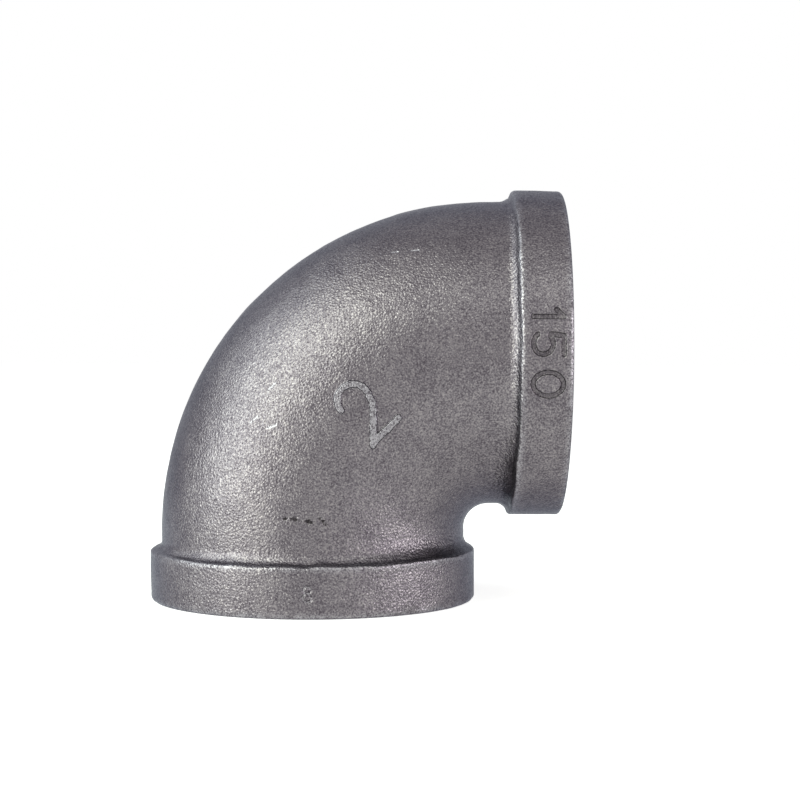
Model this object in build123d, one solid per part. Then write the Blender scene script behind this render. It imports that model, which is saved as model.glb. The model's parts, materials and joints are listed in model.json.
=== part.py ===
from build123d import *
import os
from math import radians, tan

# Threaded 90 degree elbow for 2 in pipe, one malleable-iron casting, in millimetres.
# The origin is the centre of the lower port's face. +Z runs up that port's axis into
# the elbow, and +X runs out of the side port along its axis.

os.makedirs("parts", exist_ok=True)

# The pipe, and the tapped bore that takes it
pipe_diameter = 60.3  # outside diameter of 2 in pipe
thread_clearance = 0.1  # between the pipe and the bore's wall, which lies at the thread roots
thread_length = 19.05  # from the face to the end of the tapped wall
mouth_chamfer = 1.05  # 45 degree lead-in at the bore's mouth

# The casting round the flow passage
centre_to_end = 57.15  # from each face to the other port's axis
core_relief = 0.35  # how far the cored passage stands back from the bore, all round
body_wall = 4.4
crotch_radius = 5.75  # the hollow side of the bend, in the plane of the two axes

# The band round each port
band_rise = 2.65  # how far it stands above the body
band_width = 11.2  # from the face to its back edge
band_back_slope = 25.0  # degrees that the back of the band leans, for the mould to draw
face_edge_round = 1.4
band_back_round = 1.0
band_root_fillet = 1.5
band_lap = 0.5  # plain body beyond the fillet that is turned with the band

bore_radius = pipe_diameter / 2 + thread_clearance
passage_radius = bore_radius + core_relief
body_radius = passage_radius + body_wall
band_radius = body_radius + band_rise
bend_radius = body_radius + crotch_radius
straight_leg = centre_to_end - bend_radius

# A plane on each port's face, with Z pointing into the elbow
lower_port = Plane(origin=(0, 0, 0), x_dir=(1, 0, 0), z_dir=(0, 0, 1))
side_port = Plane(origin=(centre_to_end, 0, centre_to_end), x_dir=(0, 0, 1), z_dir=(-1, 0, 0))
ports = [lower_port, side_port]


def flow_bar(radius):
    """A solid bar of one radius all along the flow path: a leg, a quarter bend and a leg."""
    bend_start = (0, 0, straight_leg)
    bend_end = (bend_radius, 0, centre_to_end)
    path = Wire(
        [
            Line(lower_port.origin, bend_start).edge(),
            TangentArc(bend_start, bend_end, tangent=(0, 0, 1)).edge(),
            Line(bend_end, side_port.origin).edge(),
        ]
    )
    return sweep(lower_port * Circle(radius), path=path)


def band():
    """The band at one port, with its face on the XY plane, turned from its half section."""
    buried_radius = passage_radius + body_wall / 2
    root = band_width + band_rise * tan(radians(band_back_slope))
    fillet_reach = band_root_fillet * tan(radians(45 - band_back_slope / 2))
    end = root + fillet_reach + band_lap
    corners = [
        (buried_radius, 0),
        (band_radius, 0),
        (band_radius, band_width),
        (body_radius, root),
        (body_radius, end),
        (buried_radius, end),
    ]
    section = make_face(Polyline(*corners, close=True))
    for corner, radius in ((1, face_edge_round), (2, band_back_round), (3, band_root_fillet)):
        vertex = section.vertices().sort_by_distance(corners[corner])[0]
        section = fillet(vertex, radius)
    return revolve(Plane.XZ * section, axis=Axis.Z)


def tapped_bore():
    """What the tap and its lead-in take out of one port, from its face on the XY plane inwards."""
    from_face = (Align.CENTER, Align.CENTER, Align.MIN)
    bore = Cylinder(bore_radius, thread_length, align=from_face)
    lead_in = Cone(bore_radius + mouth_chamfer, bore_radius, mouth_chamfer, align=from_face)
    return bore + lead_in


def cored_passage():
    """The hollow that the sand core leaves, between the inner ends of the two bores."""
    passage = flow_bar(passage_radius)
    for port in ports:
        passage = split(passage, bisect_by=port.offset(thread_length), keep=Keep.TOP)
    return passage


def elbow_casting():
    casting = flow_bar(body_radius)
    for port in ports:
        casting += port * band()
    casting -= cored_passage()
    for port in ports:
        casting -= port * tapped_bore()
    return casting


export_step(elbow_casting(), "parts/elbow_casting.step")
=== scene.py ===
import json
import math
import bmesh
import bpy
from mathutils import Matrix, Vector, noise


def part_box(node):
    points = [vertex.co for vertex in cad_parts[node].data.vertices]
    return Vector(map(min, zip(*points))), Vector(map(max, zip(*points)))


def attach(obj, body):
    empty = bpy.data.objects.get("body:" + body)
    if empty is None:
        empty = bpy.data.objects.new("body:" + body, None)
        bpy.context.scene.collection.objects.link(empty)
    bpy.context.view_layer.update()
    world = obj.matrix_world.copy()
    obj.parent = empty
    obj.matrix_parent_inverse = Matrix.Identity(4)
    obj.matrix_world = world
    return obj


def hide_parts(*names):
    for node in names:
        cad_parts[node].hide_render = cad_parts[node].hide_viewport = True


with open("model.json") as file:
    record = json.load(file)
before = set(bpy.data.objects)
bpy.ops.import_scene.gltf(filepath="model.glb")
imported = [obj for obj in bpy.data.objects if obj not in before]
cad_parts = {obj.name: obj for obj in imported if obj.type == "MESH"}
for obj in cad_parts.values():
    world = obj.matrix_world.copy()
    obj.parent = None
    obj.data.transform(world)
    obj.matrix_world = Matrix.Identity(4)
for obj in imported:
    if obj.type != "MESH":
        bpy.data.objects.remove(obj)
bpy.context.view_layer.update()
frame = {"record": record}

mm = 0.001  # lengths below are millimetres, and each finished mesh is scaled to metres

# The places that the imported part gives
mounts = {mount["name"]: mount for mount in frame["record"]["mounts"]}
centreToEnd = mounts["side_face"]["pos_m"][0] / mm
boreRadius = mounts["side_port"]["dims"]["r_mm"]
mouthChamfer = centreToEnd - mounts["side_port"]["pos_m"][0] / mm
bandRadius = -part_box("elbow_casting")[0].x / mm

# The lower port stands on the origin with +Z into the elbow. The casting's side port is its
# mirror image across the diagonal of the bend, and a thread is turned onto it, to stay
# right-handed.
acrossTheBend = Matrix(((0, 0, -1, centreToEnd), (0, 1, 0, 0), (-1, 0, 0, centreToEnd), (0, 0, 0, 1)))
ontoSidePort = Matrix(((0, 0, -1, centreToEnd), (0, 1, 0, 0), (1, 0, 0, centreToEnd), (0, 0, 0, 1)))


def hexColour(text):
    shades = [int(text[i:i + 2], 16) / 255 for i in (1, 3, 5)]
    return [s / 12.92 if s <= 0.04045 else ((s + 0.055) / 1.055) ** 2.4 for s in shades] + [1.0]


def addNode(tree, kind, feeds=None, **settings):
    node = tree.nodes.new("ShaderNode" + kind)
    for name, value in settings.items():
        setattr(node, name, value)
    for socket, value in (feeds or {}).items():
        if isinstance(value, bpy.types.NodeSocket):
            tree.links.new(value, node.inputs[socket])
        else:
            node.inputs[socket].default_value = value
    return node


def newMaterial(name):
    material = bpy.data.materials.new(name)
    material.use_nodes = True
    material.node_tree.nodes.clear()
    return material, material.node_tree


def paintRamp(ramp, stops):
    stops = list(stops)
    while len(ramp.elements) < len(stops):
        ramp.elements.new(1.0)
    for element, (place, colour) in zip(ramp.elements, stops):
        element.position = place
        element.color = hexColour(colour)


# Malleable iron as it comes from the sand mould and the shot-blaster: a grey skin
# peened all over by the shot, so that it glitters in a fine grain and has a broad soft sheen
blastedIron = {
    "shade": "#635e63",
    "darkShade": "#454046",
    "brightShade": "#807b7d",
    "wearAndSheenShade": "#99979c",  # where raised edges were rubbed, and a painted highlight along the band edges
    "scaleShade": "#332f31",  # oxide left in the pits, which the shot can't reach
    "metallic": 1.0,
    "edgeShade": "#bcc1cb",  # holds back the glare at a glancing look, as oxide does
    "roughness": 0.35,
    "roughnessSpread": 0.06,  # the crests are this much smoother, the hollows this much rougher
    "scaleRoughness": 0.4,  # what the oxide adds
    "dimpleSize": 0.5,  # from one mark of the shot to the next
    "dimpleSoftness": 0.4,
    "grainSize": 0.38,  # drawn coarser than moulding sand, to show
    "lumpSize": 2.6,
    "dimpleDepth": 0.095,
    "grainDepth": 0.07,
    "lumpDepth": 0.04,
    "cloudSize": 7.0,
    "cloudShare": 0.22,
    "fleckShare": 0.12,  # how far each dimple keeps a tone of its own
    "shadeSpread": 1.25,  # of the tones about the middle one
    "flecks": (0.3, 0.5, 0.7),  # where the three shades lie between a hollow and a crest
    "wearAndSheenCrests": (0.32, 0.58),  # where a rub, and the painted highlight on the band edges, begins to reach the grain, and covers it
}


def makeBlastedIron(name, skin):
    material, tree = newMaterial(name)
    place = addNode(tree, "TexCoord").outputs["Object"]
    dimples = addNode(tree, "TexVoronoi", {"Vector": place, "Scale": 1 / (skin["dimpleSize"] * mm),
                                           "Smoothness": skin["dimpleSoftness"]}, feature="SMOOTH_F1")
    grain = addNode(tree, "TexNoise", {"Vector": place, "Scale": 1 / (skin["grainSize"] * mm),
                                       "Detail": 1.0, "Roughness": 0.6})
    lumps = addNode(tree, "TexNoise", {"Vector": place, "Scale": 1 / (skin["lumpSize"] * mm),
                                       "Detail": 1.0})
    cloud = addNode(tree, "TexNoise", {"Vector": place, "Scale": 1 / (skin["cloudSize"] * mm),
                                       "Detail": 4.0, "Roughness": 0.65})
    cells = addNode(tree, "TexVoronoi", {"Vector": place, "Scale": 1 / (skin["dimpleSize"] * mm)},
                    feature="F1")
    cellTone = addNode(tree, "SeparateColor", {"Color": cells.outputs["Color"]})
    # Heights in metres, added and read by one Bump
    dimpleRise = addNode(tree, "Math", {0: dimples.outputs["Distance"], 1: skin["dimpleDepth"] * mm},
                         operation="MULTIPLY")
    grainRise = addNode(tree, "Math", {0: grain.outputs["Fac"], 1: skin["grainDepth"] * mm,
                                       2: dimpleRise.outputs[0]}, operation="MULTIPLY_ADD")
    rise = addNode(tree, "Math", {0: lumps.outputs["Fac"], 1: skin["lumpDepth"] * mm,
                                  2: grainRise.outputs[0]}, operation="MULTIPLY_ADD")
    bump = addNode(tree, "Bump", {"Height": rise.outputs[0], "Distance": 1.0, "Strength": 1.0})
    # The colour: bright crests, hollows dark with oxide, and slow clouds of tone
    cellLow = addNode(tree, "MapRange", {"Value": cellTone.outputs[0], "To Min": 0.25, "To Max": 0.75})
    fine = addNode(tree, "Mix", {0: skin["fleckShare"], 2: grain.outputs["Fac"],
                                 3: cellLow.outputs["Result"]}, data_type="FLOAT")
    fleck = addNode(tree, "Mix", {0: skin["cloudShare"], 2: fine.outputs[0],
                                  3: cloud.outputs["Fac"]}, data_type="FLOAT")
    spread = addNode(tree, "MapRange", {"Value": fleck.outputs[0],
                                        "To Min": 0.5 - skin["shadeSpread"] / 2,
                                        "To Max": 0.5 + skin["shadeSpread"] / 2})
    spread.clamp = False
    tone = addNode(tree, "ValToRGB", {"Fac": spread.outputs["Result"]})
    paintRamp(tone.color_ramp,
              zip(skin["flecks"], (skin["darkShade"], skin["shade"], skin["brightShade"])))
    # Where the mesh says that the iron was rubbed, its crests are bare and bright; along the band edges this
    # brightening is also a painted highlight
    wearAndSheen = addNode(tree, "Attribute", attribute_name="wearAndSheen").outputs["Fac"]
    crest = addNode(tree, "MapRange", {"Value": grain.outputs["Fac"],
                                       "From Min": skin["wearAndSheenCrests"][0],
                                       "From Max": skin["wearAndSheenCrests"][1]})
    wearAndSheenShare = addNode(tree, "Math", {0: wearAndSheen, 1: crest.outputs["Result"]}, operation="MULTIPLY")
    worn = addNode(tree, "Mix", {0: wearAndSheenShare.outputs[0], 6: tone.outputs["Color"],
                                 7: hexColour(skin["wearAndSheenShade"])}, data_type="RGBA")
    scaled = addNode(tree, "Attribute", attribute_name="scaled").outputs["Fac"]
    colour = addNode(tree, "Mix", {0: scaled, 6: worn.outputs[2], 7: hexColour(skin["scaleShade"])},
                     data_type="RGBA")
    rough = addNode(tree, "MapRange", {"Value": grain.outputs["Fac"], "From Min": 0.3, "From Max": 0.7,
                                       "To Min": skin["roughness"] + skin["roughnessSpread"],
                                       "To Max": skin["roughness"] - skin["roughnessSpread"]})
    dull = addNode(tree, "Math", {0: scaled, 1: skin["scaleRoughness"], 2: rough.outputs["Result"]},
                   operation="MULTIPLY_ADD")
    shader = addNode(tree, "BsdfPrincipled", {"Base Color": colour.outputs[2],
                                              "Metallic": skin["metallic"],
                                              "Specular Tint": hexColour(skin["edgeShade"]),
                                              "Roughness": dull.outputs[0],
                                              "Normal": bump.outputs["Normal"]})
    addNode(tree, "OutputMaterial", {"Surface": shader.outputs[0]})
    return material


# The passage was shaped by a sand core: darker, coarser and duller than the blasted outside
coredIron = dict(blastedIron, shade="#635e5b", darkShade="#484340", brightShade="#7a7470",
                 roughness=0.6, metallic=0.75, grainSize=0.45, grainDepth=0.08)

# Malleable iron faced in a lathe: bright grey with the tool's fine rings
facedIron = {
    "shade": "#8d8c8e",
    "darkShade": "#6f6d6e",
    "shadesAt": (0.35, 0.6),  # where the dark shade ends and the full one starts
    "metallic": 1.0,
    "roughness": 0.32,
    "feed": 0.42,  # tool feed per turn
    "ringDepth": 0.016,
    "wobble": 0.25,  # how far the rings stray
    "chatter": 0.9,  # width of the lighter and darker rings that the tool leaves
    "grainSize": 0.7,
    "grainDepth": 0.02,
    "grainShare": 0.3,  # how much of the cast grain still shows
}

# Malleable iron cut by a tap: darker and finer than the faces, with lines along the thread
tappedIron = dict(facedIron, shade="#7d7b7c", darkShade="#565251", roughness=0.36, feed=0.16,
                  ringDepth=0.006, grainShare=0.7)


def makeTurnedIron(name, finish):
    material, tree = newMaterial(name)
    place = addNode(tree, "TexCoord").outputs["Object"]
    toolPath = addNode(tree, "Attribute", attribute_name="turnedRadius").outputs["Fac"]
    grain = addNode(tree, "TexNoise", {"Vector": place, "Scale": 1 / (finish["grainSize"] * mm),
                                       "Detail": 3.0})
    wobble = addNode(tree, "Math", {0: grain.outputs["Fac"], 1: finish["wobble"], 2: toolPath},
                     operation="MULTIPLY_ADD")
    turns = addNode(tree, "Math", {0: wobble.outputs[0], 1: 2 * math.pi / finish["feed"]},
                    operation="MULTIPLY")
    rings = addNode(tree, "Math", {0: turns.outputs[0]}, operation="SINE")
    ringRise = addNode(tree, "Math", {0: rings.outputs[0], 1: finish["ringDepth"] * mm / 2},
                       operation="MULTIPLY")
    rise = addNode(tree, "Math", {0: grain.outputs["Fac"], 1: finish["grainDepth"] * mm,
                                  2: ringRise.outputs[0]}, operation="MULTIPLY_ADD")
    bump = addNode(tree, "Bump", {"Height": rise.outputs[0], "Distance": 1.0, "Strength": 1.0})
    across = addNode(tree, "Math", {0: wobble.outputs[0], 1: 1 / finish["chatter"]},
                     operation="MULTIPLY")
    chatter = addNode(tree, "TexNoise", {"W": across.outputs[0], "Scale": 1.0, "Detail": 2.0},
                      noise_dimensions="1D")
    mixed = addNode(tree, "Mix", {0: finish["grainShare"], 2: chatter.outputs["Fac"],
                                  3: grain.outputs["Fac"]}, data_type="FLOAT")
    tone = addNode(tree, "ValToRGB", {"Fac": mixed.outputs[0]})
    paintRamp(tone.color_ramp, zip(finish["shadesAt"], (finish["darkShade"], finish["shade"])))
    rough = addNode(tree, "MapRange", {"Value": grain.outputs["Fac"], "From Min": 0.3, "From Max": 0.7,
                                       "To Min": finish["roughness"] + 0.1,
                                       "To Max": finish["roughness"] - 0.05})
    shader = addNode(tree, "BsdfPrincipled", {"Base Color": tone.outputs["Color"],
                                              "Metallic": finish["metallic"],
                                              "Roughness": rough.outputs["Result"],
                                              "Normal": bump.outputs["Normal"]})
    addNode(tree, "OutputMaterial", {"Surface": shader.outputs[0]})
    return material


castSkin = makeBlastedIron("shotBlastedMalleableIron", blastedIron)
coreSkin = makeBlastedIron("sandCoredMalleableIron", coredIron)
facedSkin = makeTurnedIron("facedMalleableIron", facedIron)
tappedSkin = makeTurnedIron("tappedMalleableIron", tappedIron)
print("materials made")


casting = {
    "bodyRadius": 35.0,
    "bendRadius": 40.75,  # of the centre line
    "passageRadius": 30.6,
    "coreStep": 0.4,  # length over which the tapped bore widens to the cored passage
    "bandWidth": 11.2,
    "bandBackSlope": 25.0,  # degrees
    "rootFillet": 2.4,
    "rootSteps": 6,
    "bandBackRound": 0.8,
    "bandBackSteps": 4,
    "faceEdgeRound": 1.0,
    "faceEdgeSteps": 5,
    "aroundSteps": 256,
    "bendSteps": 132,
    "passageSteps": 40,
    "sectionSpacing": 0.8,
    "sharpAngle": 30,  # degrees, past which an edge isn't shaded smooth
}
straightLeg = centreToEnd - casting["bendRadius"]
mouthRadius = boreRadius + mouthChamfer
samePlace = 0.01  # points nearer than this are one
onTheFace = 0.001


def roundCorner(bm, corner, radius, turn, segments):
    bmesh.ops.bevel(bm, geom=[corner], offset=radius * math.tan(turn / 2), offset_type="OFFSET",
                    segments=segments, profile=0.5, affect="VERTICES", material=-1)


# Half of a port's section, from the bend down the outside, across the face and up the bore
def portSection(bm, sizes):
    rise = bandRadius - sizes["bodyRadius"]
    slope = math.radians(sizes["bandBackSlope"])
    corners = [bm.verts.new((x, 0, z)) for x, z in (
        (sizes["bodyRadius"], straightLeg),
        (sizes["bodyRadius"], sizes["bandWidth"] + rise * math.tan(slope)),
        (bandRadius, sizes["bandWidth"]),
        (bandRadius, 0),
        (mouthRadius, 0),
        (boreRadius, mouthChamfer),
        (boreRadius, straightLeg - sizes["coreStep"]),
        (sizes["passageRadius"], straightLeg))]
    for start, end in zip(corners, corners[1:]):
        bm.edges.new((start, end))
    leanTurn = math.pi / 2 - slope
    roundCorner(bm, corners[1], sizes["rootFillet"], leanTurn, sizes["rootSteps"])
    roundCorner(bm, corners[2], sizes["bandBackRound"], leanTurn, sizes["bandBackSteps"])
    roundCorner(bm, corners[3], sizes["faceEdgeRound"], math.pi / 2, sizes["faceEdgeSteps"])
    for edge in bm.edges[:]:
        hidden = max(v.co.x for v in edge.verts) < boreRadius + samePlace
        cuts = round(edge.calc_length() / sizes["sectionSpacing"]) - 1
        if cuts > 0 and not hidden:
            bmesh.ops.subdivide_edges(bm, edges=[edge], cuts=cuts)


def sweptBend(bm, radius, steps):
    ring = bmesh.ops.create_circle(bm, segments=casting["aroundSteps"], radius=radius)["verts"]
    bmesh.ops.translate(bm, vec=(0, 0, straightLeg), verts=ring)
    bmesh.ops.spin(bm, geom=ring + list({e for v in ring for e in v.link_edges}),
                   cent=(casting["bendRadius"], 0, straightLeg), axis=(0, 1, 0), dvec=(0, 0, 0),
                   angle=math.pi / 2, steps=steps, use_merge=False)


def addTo(bm, other):
    mesh = bpy.data.meshes.new("joining")
    other.to_mesh(mesh)
    other.free()
    bm.from_mesh(mesh)
    bpy.data.meshes.remove(mesh)


# Where a point lies on a port: how far in from the face, how far from the axis, and how
# far round from the near side, towards the outside of the bend
def onPort(point, side):
    if side:
        point = acrossTheBend @ point
    return point.z, math.hypot(point.x, point.y), math.atan2(-point.x, -point.y)


def onLowerPort(point):
    return onPort(point, False)[0] < onPort(point, True)[0]


def nearestPort(point):
    return onPort(point, not onLowerPort(point))


def allIn(bm):
    return bm.verts[:] + bm.edges[:] + bm.faces[:]


def vertsOf(geom):
    return [g for g in geom if isinstance(g, bmesh.types.BMVert)]


def makeCasting():
    bm = bmesh.new()
    portSection(bm, casting)
    bmesh.ops.spin(bm, geom=bm.verts[:] + bm.edges[:], cent=(0, 0, 0), axis=(0, 0, 1),
                   dvec=(0, 0, 0), angle=2 * math.pi, steps=casting["aroundSteps"], use_merge=True)
    copy = bmesh.ops.duplicate(bm, geom=allIn(bm))["geom"]
    bmesh.ops.transform(bm, matrix=acrossTheBend, verts=vertsOf(copy))
    for radius, steps in ((casting["bodyRadius"], casting["bendSteps"]),
                          (casting["passageRadius"], casting["passageSteps"])):
        bend = bmesh.new()
        sweptBend(bend, radius, steps)
        addTo(bm, bend)
    bmesh.ops.remove_doubles(bm, verts=bm.verts, dist=samePlace)
    bmesh.ops.recalc_face_normals(bm, faces=bm.faces)
    return bm


def openEdges(bm):
    return sum(not e.is_manifold for e in bm.edges)


def shadeSmooth(bm):
    for face in bm.faces:
        face.smooth = True
    for edge in bm.edges:
        if edge.calc_face_angle(0) > math.radians(casting["sharpAngle"]):
            edge.smooth = False


bm = makeCasting()
shadeSmooth(bm)
print("casting swept:", len(bm.faces), "faces, open edges", openEdges(bm))

# Which metal each face is, before anything is moved
skinIndex, coreIndex, facedIndex = 0, 1, 2
rimRadius = bandRadius - casting["faceEdgeRound"]
insideRadius = casting["bodyRadius"] - 1  # nearer the axis than this is the passage's wall
for face in bm.faces:
    centre = face.calc_center_median()
    depth, radius, around = nearestPort(centre)
    if depth < straightLeg and radius < rimRadius and (depth < onTheFace or radius < mouthRadius):
        face.material_index = facedIndex
        continue
    if depth > straightLeg - onTheFace:
        fromCentre = math.hypot(centre.x - casting["bendRadius"], centre.z - straightLeg)
        radius = math.hypot(fromCentre - casting["bendRadius"], centre.y)
    if radius < insideRadius and depth > 1:
        face.material_index = coreIndex


def arc(centre, radii, start, end, steps=14):
    angles = [math.radians(start + (end - start) * i / steps) for i in range(steps + 1)]
    return [(centre[0] + radii[0] * math.cos(a), centre[1] + radii[1] * math.sin(a)) for a in angles]


# Each mark has its strokes in its own upright plane, and a function that lays the casting's
# surface out flat in that plane
pipeSizeMark = {  # raised on the near side of the bend
    "strokes": [
        arc((3.4, 9.5), (3.45, 3.45), 176, -30) + [(5.95, 6.35), (5.1, 5.2), (0, 0), (7.6, 0)],
        [(0.3, 0.3), (-0.45, -0.3)],
    ],
    "corner": (14.43, 37.7),
    "turn": 44.5,
    "nearSide": -15,  # only in front of this
    "reach": 20,
    "rise": 0.6,
    "width": 1.15,
    "draft": 0.28,  # width of the slope from the top of a stroke to the skin
    "ragged": 0.18,
    "wearAndSheen": 0.62,  # how bright it is worn
    "scaled": 0.0,  # how much oxide it holds
    "passes": 3,  # how often the mesh is halved under it
}
bandNumber = {  # stamped into the side band, read from above with its feet towards the bend
    "strokes": [
        [(0.0, 5.0), (1.6, 6.5), (1.6, 0.0)],
        [(9.8, 6.5), (5.7, 6.5), (5.35, 3.75)] + arc((7.4, 2.1), (2.35, 2.1), 135, -145),
        arc((16.2, 3.25), (2.6, 3.25), 0, 360, 24),
    ],
    "start": (66.5, 48.4),  # along the arc from the port's axis height, and along the axis
    "rise": -0.5,
    "width": 0.7,
    "draft": 0.3,
    "ragged": 0.06,
    "wearAndSheen": 0.0,
    "scaled": 0.3,
    "passes": 3,
}
mouldNumber = {  # small, in the lower band
    "strokes": [arc((1.15, 2.55), (0.72, 0.75), 0, 360, 16), arc((1.15, 0.9), (0.92, 0.9), 0, 360, 16)],
    "start": (-0.75, 3.85),
    "rise": -0.28,
    "width": 0.2,
    "draft": 0.3,
    "ragged": 0.08,
    "wearAndSheen": 0.3,
    "scaled": 0.0,
    "passes": 3,
}
markReach = 30  # no stroke lies further than this from its mark's corner
raggedSize = 0.7
farAway = 1e9


def placeOnBend(point):
    dx, dz = point.x - pipeSizeMark["corner"][0], point.z - pipeSizeMark["corner"][1]
    if point.y > pipeSizeMark["nearSide"] or max(abs(dx), abs(dz)) > pipeSizeMark["reach"]:
        return None
    turn = math.radians(pipeSizeMark["turn"])
    return dx * math.cos(turn) + dz * math.sin(turn), dz * math.cos(turn) - dx * math.sin(turn)


def onBandSkin(depth, radius):
    return 0.5 < depth < casting["bandWidth"] and radius > casting["bodyRadius"] + 1


def placeOnSideBand(point):
    depth, radius, around = onPort(point, True)
    if not onBandSkin(depth, radius):
        return None
    along = bandNumber["start"][0] - centreToEnd - bandRadius * around
    return along, point.x - bandNumber["start"][1]


def placeOnLowerBand(point):
    depth, radius, around = onPort(point, False)
    if not onBandSkin(depth, radius):
        return None
    return -bandRadius * around - mouldNumber["start"][0], depth - mouldNumber["start"][1]


marks = (
    (pipeSizeMark, placeOnBend, lambda point: Vector((0, -1, 0))),
    (bandNumber, placeOnSideBand, lambda point: Vector((0, point.y, point.z - centreToEnd)).normalized()),
    (mouldNumber, placeOnLowerBand, lambda point: Vector((point.x, point.y, 0)).normalized()),
)


def strokeDistance(spot, strokes):
    best = farAway
    if spot is None or max(abs(spot[0]), abs(spot[1])) > markReach:
        return best
    for line in strokes:
        for (ax, ay), (bx, by) in zip(line, line[1:]):
            ux, uy = bx - ax, by - ay
            share = ((spot[0] - ax) * ux + (spot[1] - ay) * uy) / (ux * ux + uy * uy)
            share = max(0.0, min(1.0, share))
            best = min(best, math.hypot(spot[0] - ax - share * ux, spot[1] - ay - share * uy))
    return best


def smoothStep(low, high, value):
    t = max(0.0, min(1.0, (value - low) / (high - low)))
    return t * t * (3 - 2 * t)


# 0 up to the first of four depths, 1 between the second and the third, 0 from the fourth
def plateau(depths, value):
    return smoothStep(depths[0], depths[1], value) * (1 - smoothStep(depths[2], depths[3], value))


def onSkin(vert):
    return all(f.material_index == skinIndex for f in vert.link_faces)


def divideNear(bm, isNear):
    faces = [f for f in bm.faces if f.material_index == skinIndex and isNear(f.calc_center_median())]
    edges = {e for f in faces for e in f.edges}
    bmesh.ops.subdivide_edges(bm, edges=list(edges), cuts=1, use_grid_fill=True)


def divideMark(bm, mark, place):
    reach = mark["width"] / 2 + mark["draft"]
    size = casting["sectionSpacing"]
    for step in range(mark["passes"]):
        divideNear(bm, lambda point: strokeDistance(place(point), mark["strokes"]) < reach + size)
        size /= 2


def raiseMark(bm, mark, place, direction):
    edge = mark["width"] / 2
    for vert in bm.verts:
        away = strokeDistance(place(vert.co), mark["strokes"])
        if away == farAway:
            continue
        away += mark["ragged"] * noise.noise(vert.co / raggedSize)
        share = 1 - smoothStep(edge, edge + mark["draft"], away)
        if share > 0 and onSkin(vert):
            vert.co += direction(vert.co) * mark["rise"] * share
            vert[wearAndSheen] = max(vert[wearAndSheen], mark["wearAndSheen"] * share)
            vert[scaled] = max(vert[scaled], mark["scaled"] * share)


# Holes that gas left in the skin, with scale in them
blowHoles = {
    "holes": [  # place, radius and depth
        ((-4.43, -34.68, 21.32), 0.45, 0.34), ((-3.14, -34.83, 21.34), 0.4, 0.3),
        ((-2.17, -34.92, 21.14), 0.5, 0.42), ((0.51, -35.0, 20.73), 0.55, 0.45),
        ((1.2, -34.99, 20.6), 0.4, 0.3), ((3.07, -34.89, 21.37), 0.4, 0.28),
        ((3.71, -34.83, 20.72), 0.38, 0.25), ((4.35, -34.75, 20.07), 0.4, 0.25),
        ((13.91, -32.12, 12.89), 0.4, 0.25),
    ],
    "ragged": 0.9,
    "raggedSize": 0.45,
    "steepness": 1.6,
    "reach": 2.2,  # in radii
}
# Knocks from other fittings in the bin, which leave the iron bright
knocks = {
    "scratches": [  # both ends and the width
        ((-10.7, -30.46, 43.1), (-12.2, -30.05, 41.8), 0.34),
        ((-6.5, -32.61, 41.4), (-8.4, -32.09, 40.65), 0.38),
        ((-6.9, -30.14, 50.4), (-8.5, -29.91, 48.8), 0.3),
        ((24.1, -25.0, 79.5), (22.3, -24.6, 79.4), 0.32),
        ((19.6, -24.0, 79.2), (18.2, -23.6, 79.0), 0.3),
        ((56.8, -37.2, 63.4), (56.9, -36.6, 65.2), 0.45),
    ],
    "ragged": 0.6,
    "raggedSize": 0.6,
    "depth": 0.07,
    "brightness": 2.2,
    "reach": 1.5,  # in widths
}
partingLine = {"height": 0.16, "width": 1.3, "evenShare": 0.75, "uneven": 0.45, "unevenSize": 4.3}


def awayFromLine(point, start, end):
    start, end = Vector(start), Vector(end)
    share = max(0.0, min(1.0, (point - start).dot(end - start) / (end - start).length_squared))
    return (point - start - share * (end - start)).length


def nearBlemish(point, reach):
    return (any((point - Vector(spot)).length < radius + reach for spot, radius, depth in blowHoles["holes"])
            or any(awayFromLine(point, start, end) < width / 2 + reach
                   for start, end, width in knocks["scratches"]))


wearAndSheen = bm.verts.layers.float.new("wearAndSheen")
scaled = bm.verts.layers.float.new("scaled")
for mark, place, direction in marks:
    divideMark(bm, mark, place)
for reach in (0.8, 0.4, 0.2):
    divideNear(bm, lambda point: nearBlemish(point, reach))
divideNear(bm, lambda point: abs(point.y) < partingLine["width"])
print("marks divided:", len(bm.faces), "faces, open edges", openEdges(bm))

# The skin isn't quite true: slow waves from the pattern and quick ones from the sand
skinWaves = {
    "slowSize": 15.0,
    "slowHeight": 0.14,
    "slowStart": (3.1, 7.7, 1.9),
    "quickSize": 3.2,
    "quickHeight": 0.05,
    "quickStart": (11.3, 2.2, 5.4),
    "coreHeight": 0.16,
    "coreQuickShare": 0.7,
    "bandShare": 0.8,  # on the bands they go inwards only, because the bands fill the part's box
    "bandLift": 0.02,
    "bandDrop": 0.03,
    "bandFade": 2.5,  # from the face
}
# Where each band differs from the turned shape
bandShape = {
    "backInner": 0.6,  # how far its back edge strays at the crotch
    "backNear": -0.12,  # and on the near and far sides
    "backUneven": 0.25,
    "backUnevenSize": 5.0,
    "backDepths": (7.0, 10.0, 13.6, 16.2),
    "heelStep": 0.33,  # the lower band's shoulder stands up straighter at the heel
    "heelRadius": 36.6,
    "heelRange": (-1.6, 0.5),
    "innerFill": 0.62,  # iron that fills the groove on both sides of the crotch
    "fillDepths": (10.0, 12.6, 12.6, 16.3),
    "edgeWear": 0.4,  # where the rim of a face is chipped
    "wearSize": 3.5,
    "wearMore": 0.1,
    "wearReach": 1.0,
    "wearDepths": (0.9, 2.2),
    "taper": 0.2,  # the mould's draft at the heel, from the band's middle to its face
    "taperReach": 1.5,
    "taperDepth": 8.0,
}


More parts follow.
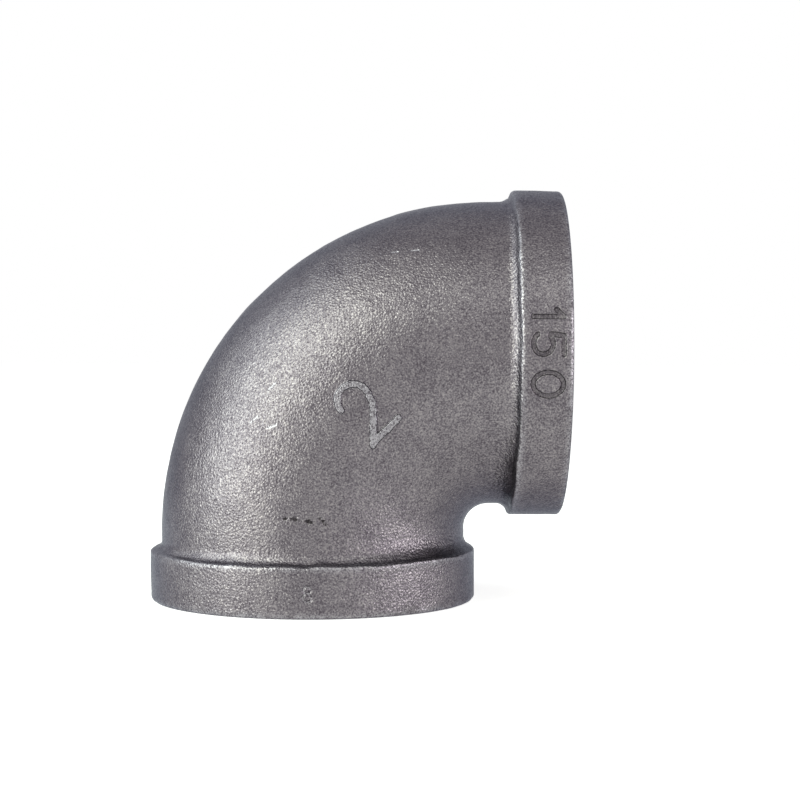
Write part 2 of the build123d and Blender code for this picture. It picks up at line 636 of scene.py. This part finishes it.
def bandMove(point, depth, radius, around):
    lower = onLowerPort(point)
    outerShare, innerShare = max(0.0, math.sin(around)), max(0.0, -math.sin(around))
    shift = (bandShape["backInner"] * innerShare ** 2
             + bandShape["backNear"] * max(0.0, math.cos(around)) ** 2
             + bandShape["backUneven"] * noise.noise(point / bandShape["backUnevenSize"]))
    if lower:
        low, high = bandShape["heelRange"]
        lean = max(low, min(high, radius - bandShape["heelRadius"]))
        shift += bandShape["heelStep"] * outerShare ** 2 * lean
    fill = 0.0
    if around < 0:
        fill = bandShape["innerFill"] * math.sin(2 * around) ** 2 * plateau(bandShape["fillDepths"], depth)
    wear = (bandShape["edgeWear"]
            * max(0.0, noise.noise(point / bandShape["wearSize"]) + bandShape["wearMore"])
            * smoothStep(bandRadius - bandShape["wearReach"], bandRadius, radius)
            * (1 - smoothStep(*bandShape["wearDepths"], depth)))
    wear += (bandShape["taper"] * outerShare
             * smoothStep(bandRadius - bandShape["taperReach"], bandRadius, radius)
             * (1 - smoothStep(0.0, bandShape["taperDepth"], depth)))
    inwards = Vector((0, 0, 1)) if lower else Vector((-1, 0, 0))
    axisPoint = Vector((0, 0, point.z)) if lower else Vector((point.x, 0, centreToEnd))
    outwards = (point - axisPoint).normalized()
    return inwards * shift * plateau(bandShape["backDepths"], depth) + outwards * (fill - wear)


def waveHeight(point, depth, inCore):
    slow = noise.noise(point / skinWaves["slowSize"] + Vector(skinWaves["slowStart"]))
    quick = noise.noise(point / skinWaves["quickSize"] + Vector(skinWaves["quickStart"]))
    if inCore:
        return (slow + quick * skinWaves["coreQuickShare"]) * skinWaves["coreHeight"]
    height = slow * skinWaves["slowHeight"] + quick * skinWaves["quickHeight"]
    if depth < casting["bandWidth"] + 1:
        height = min(0.0, height - skinWaves["bandLift"]) * skinWaves["bandShare"] - skinWaves["bandDrop"]
        return height * smoothStep(0.0, skinWaves["bandFade"], depth)
    ridge = math.exp(-(point.y / (partingLine["width"] / 2)) ** 2) * partingLine["height"]
    uneven = partingLine["uneven"] * noise.noise(point / partingLine["unevenSize"])
    return height + ridge * (partingLine["evenShare"] + uneven)


bm.normal_update()
moves = {}
for vert in bm.verts:
    kinds = {f.material_index for f in vert.link_faces}
    if facedIndex in kinds:
        continue
    inCore = coreIndex in kinds
    depth, radius, around = nearestPort(vert.co)
    move = vert.normal * waveHeight(vert.co, depth, inCore)
    if not inCore and depth < straightLeg:
        move += bandMove(vert.co, depth, radius, around)
    moves[vert] = move
for vert, move in moves.items():
    vert.co += move

# A band's two edges are painted brighter: partly rubbed by handling and the blaster, partly a painted
# highlight where their rounded corners catch the light
bandEdgeWearAndSheen = {"reach": 1.2, "back": (0.1, 0.7), "front": (0.5, 0.5), "wearAndSheen": 0.46, "uneven": 0.5,
             "unevenSize": 1.6}
for vert in bm.verts:
    depth, radius, around = nearestPort(vert.co)
    if radius > bandRadius - bandEdgeWearAndSheen["reach"] and depth < casting["bandWidth"] + 2:
        backPlace, backWidth = bandEdgeWearAndSheen["back"]
        frontPlace, frontWidth = bandEdgeWearAndSheen["front"]
        back = math.exp(-((depth - casting["bandWidth"] + backPlace) / backWidth) ** 2)
        front = math.exp(-((depth - frontPlace) / frontWidth) ** 2)
        uneven = bandEdgeWearAndSheen["uneven"] * noise.noise(vert.co / bandEdgeWearAndSheen["unevenSize"])
        vert[wearAndSheen] = max(back, front) * (bandEdgeWearAndSheen["wearAndSheen"] + uneven)

for mark, place, direction in marks:
    raiseMark(bm, mark, place, direction)


def sinkHoles(vert):
    for spot, radius, depth in blowHoles["holes"]:
        ragged = 1 + blowHoles["ragged"] * noise.noise(vert.co / blowHoles["raggedSize"])
        away = (vert.co - Vector(spot)).length * ragged
        if away < radius * blowHoles["reach"]:
            share = math.exp(-(away / radius) ** 2 * blowHoles["steepness"])
            vert.co -= vert.normal * depth * share
            vert[scaled] = max(vert[scaled], share)


def knock(vert):
    for start, end, width in knocks["scratches"]:
        ragged = 1 + knocks["ragged"] * noise.noise(vert.co / knocks["raggedSize"])
        away = awayFromLine(vert.co, start, end) * ragged
        if away < width * knocks["reach"]:
            share = math.exp(-(away / (width / 2)) ** 2)
            vert.co -= vert.normal * knocks["depth"] * share
            vert[wearAndSheen] = max(vert[wearAndSheen], knocks["brightness"] * share)


for vert in bm.verts:
    if onSkin(vert):
        sinkHoles(vert)
        knock(vert)
print("skin worn, marks and blemishes made")


def finishPiece(name, bm, materials):
    turned = bm.verts.layers.float.new("turnedRadius")
    for vert in bm.verts:
        depth, radius, around = nearestPort(vert.co)
        vert[turned] = radius + depth  # the tool's path, across a face and along a bore
    bmesh.ops.scale(bm, vec=(mm, mm, mm), verts=bm.verts)
    mesh = bpy.data.meshes.new(name)
    bm.to_mesh(mesh)
    bm.free()
    for material in materials:
        mesh.materials.append(material)
    piece = bpy.data.objects.new(name, mesh)
    bpy.context.scene.collection.objects.link(piece)
    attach(piece, "root")
    print(name, "made:", len(mesh.polygons), "faces")
    return piece


elbowCasting = finishPiece("elbowCasting", bm, (castSkin, coreSkin, facedSkin))
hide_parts("elbow_casting")


# American taper pipe thread for 2 in pipe
pipeThread = {
    "pitch": 25.4 / 11.5,
    "crestRadius": 28.28,  # at the face
    "depth": 1.77,
    "taper": 1 / 32,  # on the radius
    "flat": 0.14,
    "flankSteps": 3,
    "aroundSteps": 144,
    "turnsBefore": 1.5,  # turns drawn before the face, to be cut off
    "length": 19.05,
    "endRadius": 30.6,
    "buriedRadius": 32.0,
    "mouthLean": 0.6,  # how far the buried side stands back from the mouth
}


def boundaryAt(bm, height):
    return [e for e in bm.edges
            if e.is_boundary and all(abs(v.co.z - height) < onTheFace for v in e.verts)]


def makeThread(thread):
    bm = bmesh.new()
    pitch, flat, depth = thread["pitch"], thread["flat"], thread["depth"]
    flank = pitch / 2 - flat
    steps = thread["flankSteps"]
    profile = [(0, 0)] + [(depth * i / steps, flat + flank * i / steps) for i in range(steps + 1)]
    profile += [(depth - depth * i / steps, 2 * flat + flank + flank * i / steps)
                for i in range(steps + 1)]
    verts = [bm.verts.new((thread["crestRadius"] + rise, 0, z - thread["turnsBefore"] * pitch))
             for rise, z in profile]
    for start, end in zip(verts, verts[1:]):
        bm.edges.new((start, end))
    bmesh.ops.spin(bm, geom=bm.verts[:] + bm.edges[:], cent=(0, 0, 0), axis=(0, 0, 1),
                   dvec=(0, 0, pitch / thread["aroundSteps"]), angle=2 * math.pi,
                   steps=thread["aroundSteps"], use_merge=False)
    oneTurn = allIn(bm)
    for turn in range(1, math.ceil(thread["length"] / pitch) + 2):
        copy = bmesh.ops.duplicate(bm, geom=oneTurn)["geom"]
        bmesh.ops.translate(bm, vec=(0, 0, turn * pitch), verts=vertsOf(copy))
    bmesh.ops.remove_doubles(bm, verts=bm.verts, dist=0.005)
    for cut, side in ((mouthChamfer, True), (thread["length"], False)):
        bmesh.ops.bisect_plane(bm, geom=allIn(bm), dist=1e-4, plane_co=(0, 0, cut),
                               plane_no=(0, 0, 1), clear_outer=not side, clear_inner=side)
    # Taper it, and cut the crests back at the mouth and where the thread runs into the passage
    for vert in bm.verts:
        radius = math.hypot(vert.co.x, vert.co.y)
        wanted = max(radius - vert.co.z * thread["taper"], mouthRadius - vert.co.z,
                     thread["endRadius"] - (thread["length"] - vert.co.z))
        vert.co.x *= wanted / radius
        vert.co.y *= wanted / radius
    # Close it behind, inside the casting's wall
    for height, shift in ((mouthChamfer, thread["mouthLean"]), (thread["length"], 0.0)):
        new = bmesh.ops.extrude_edge_only(bm, edges=boundaryAt(bm, height))["geom"]
        for vert in vertsOf(new):
            scale = thread["buriedRadius"] / math.hypot(vert.co.x, vert.co.y)
            vert.co = Vector((vert.co.x * scale, vert.co.y * scale, height + shift))
    bmesh.ops.bridge_loops(bm, edges=[e for e in bm.edges if e.is_boundary])
    bmesh.ops.dissolve_degenerate(bm, edges=bm.edges, dist=0.002)
    bmesh.ops.recalc_face_normals(bm, faces=bm.faces)
    shadeSmooth(bm)
    return bm


for name, place in (("lowerPortThread", Matrix.Identity(4)), ("sidePortThread", ontoSidePort)):
    bm = makeThread(pipeThread)
    print(name, "open edges", openEdges(bm))
    bmesh.ops.transform(bm, matrix=place, verts=bm.verts)
    finishPiece(name, bm, (tappedSkin,))


studio = {
    "floorShade": "#e9e9e8",
    "floorGlow": 0.72,
    "floorReach": 10.0,  # metres from its middle to an edge
    "floorDrop": 0.05,
    "fibreScale": 900.0,  # about 1.1 mm from one fibre to the next
    "fibreDepth": 0.02,
    "worldShade": "#ffffff",
    "skyLight": 0.35,  # what the world gives to matt surfaces
    # Each soft box: place and aim in millimetres, size in millimetres, power in watts
    "softBoxes": [
        {"name": "keySoftBox", "place": (-487, -419, 591), "aim": (12, 0, 45), "size": (500, 500),
         "power": 4.5, "colour": (0.915, 1.0, 0.86)},
        {"name": "backSoftBox", "place": (-629, 113, 591), "aim": (12, 0, 45), "size": (500, 500),
         "power": 1.7, "colour": (0.87, 1.0, 0.97)},
        {"name": "sideSoftBox", "place": (-781, -212, 265), "aim": (12, 0, 45), "size": (500, 500),
         "power": 3.2, "colour": (0.89, 1.0, 0.93)},
        {"name": "lowSoftBox", "place": (-636, -543, 135), "aim": (12, 0, 135), "size": (500, 270),
         "power": 2.4, "colour": (0.94, 1.0, 0.88)},
        {"name": "rightSoftBox", "place": (828, -219, 135), "aim": (12, 0, 135), "size": (500, 270),
         "power": 2.3, "colour": (1.0, 0.965, 0.98)},
        {"name": "frontSoftBox", "place": (660, -543, 135), "aim": (12, 0, 135), "size": (500, 270),
         "power": 0.6, "colour": (1.0, 0.965, 0.98)},
        {"name": "topSoftBox", "place": (287, -590, 591), "aim": (12, 0, 45), "size": (500, 500),
         "power": 1.3, "colour": (0.93, 1.0, 0.9)},
    ],
}


# 1 where the background is seen: straight by the camera, in a reflection or through glass
def seenRays(tree, ray):
    seen = addNode(tree, "Math", {0: ray["Is Camera Ray"], 1: ray["Is Glossy Ray"]},
                   operation="MAXIMUM")
    return addNode(tree, "Math", {0: seen.outputs[0], 1: ray["Is Transmission Ray"]},
                   operation="MAXIMUM").outputs[0]


def makeFloor():
    material, tree = newMaterial("matteStudioPaper")
    ray = addNode(tree, "LightPath").outputs
    glow = addNode(tree, "Math", {0: seenRays(tree, ray), 1: studio["floorGlow"]}, operation="MULTIPLY")
    place = addNode(tree, "TexCoord").outputs["Object"]
    fibre = addNode(tree, "TexNoise", {"Vector": place, "Scale": studio["fibreScale"]})
    bump = addNode(tree, "Bump", {"Height": fibre.outputs["Fac"],
                                  "Distance": studio["fibreDepth"] * mm, "Strength": 0.3})
    shader = addNode(tree, "BsdfPrincipled", {"Base Color": hexColour(studio["floorShade"]),
                                              "Roughness": 0.9, "Specular IOR Level": 0.0,
                                              "Emission Color": (1, 1, 1, 1),
                                              "Emission Strength": glow.outputs[0],
                                              "Normal": bump.outputs["Normal"]})
    # Clear to a camera under it, so that the underside can be looked at
    backs = addNode(tree, "NewGeometry").outputs["Backfacing"]
    under = addNode(tree, "Math", {0: ray["Is Camera Ray"], 1: backs}, operation="MULTIPLY")
    clear = addNode(tree, "BsdfTransparent").outputs[0]
    surface = addNode(tree, "MixShader", {0: under.outputs[0], 1: shader.outputs[0], 2: clear})
    addNode(tree, "OutputMaterial", {"Surface": surface.outputs[0]})
    bm = bmesh.new()
    bmesh.ops.create_grid(bm, x_segments=1, y_segments=1, size=studio["floorReach"])
    bmesh.ops.translate(bm, vec=(0, 0, -studio["floorDrop"] * mm), verts=bm.verts)
    mesh = bpy.data.meshes.new("studioFloor")
    bm.to_mesh(mesh)
    bm.free()
    mesh.materials.append(material)
    floor = bpy.data.objects.new("studioFloor", mesh)
    bpy.context.scene.collection.objects.link(floor)


def makeWorld():
    world = bpy.data.worlds.new("paleStudio")
    bpy.context.scene.world = world
    world.use_nodes = True
    tree = world.node_tree
    tree.nodes.clear()
    ray = addNode(tree, "LightPath").outputs
    strength = addNode(tree, "MapRange", {"Value": seenRays(tree, ray), "To Min": studio["skyLight"],
                                          "To Max": 1.0})
    light = addNode(tree, "Background", {"Color": hexColour(studio["worldShade"]),
                                         "Strength": strength.outputs["Result"]})
    addNode(tree, "OutputWorld", {"Surface": light.outputs[0]})


def makeSoftBox(box):
    lamp = bpy.data.lights.new(box["name"], "AREA")
    lamp.shape = "RECTANGLE"
    lamp.size, lamp.size_y = (s * mm for s in box["size"])
    lamp.energy, lamp.color = box["power"], box["colour"]
    holder = bpy.data.objects.new(box["name"], lamp)
    holder.location = Vector(box["place"]) * mm
    towards = Vector(box["aim"]) - Vector(box["place"])
    holder.rotation_euler = towards.to_track_quat("-Z", "Y").to_euler()
    bpy.context.scene.collection.objects.link(holder)


frontCamera = {
    "place": (18.8607, -413.8597, 56.3729),
    "turn": -0.189,  # degrees, as the next two are
    "tilt": -1.432,
    "roll": 0.187,
    "lens": 79.83,
    "sensor": 36.0,
    "clip": (0.01, 20.0),  # metres
}


def makeCamera(view):
    data = bpy.data.cameras.new("frontCamera")
    data.sensor_width = view["sensor"]
    data.lens = view["lens"]
    data.clip_start, data.clip_end = view["clip"]
    camera = bpy.data.objects.new("frontCamera", data)
    turn, tilt, roll = (math.radians(view[k]) for k in ("turn", "tilt", "roll"))
    camera.matrix_world = (Matrix.Translation(Vector(view["place"]) * mm)
                           @ Matrix.Rotation(turn, 4, "Z")
                           @ Matrix.Rotation(math.pi / 2 + tilt, 4, "X")
                           @ Matrix.Rotation(roll, 4, "Z"))
    bpy.context.scene.collection.objects.link(camera)
    bpy.context.scene.camera = camera


makeFloor()
makeWorld()
for box in studio["softBoxes"]:
    makeSoftBox(box)
makeCamera(frontCamera)
bpy.context.scene.view_settings.view_transform = "Standard"
print("studio set")
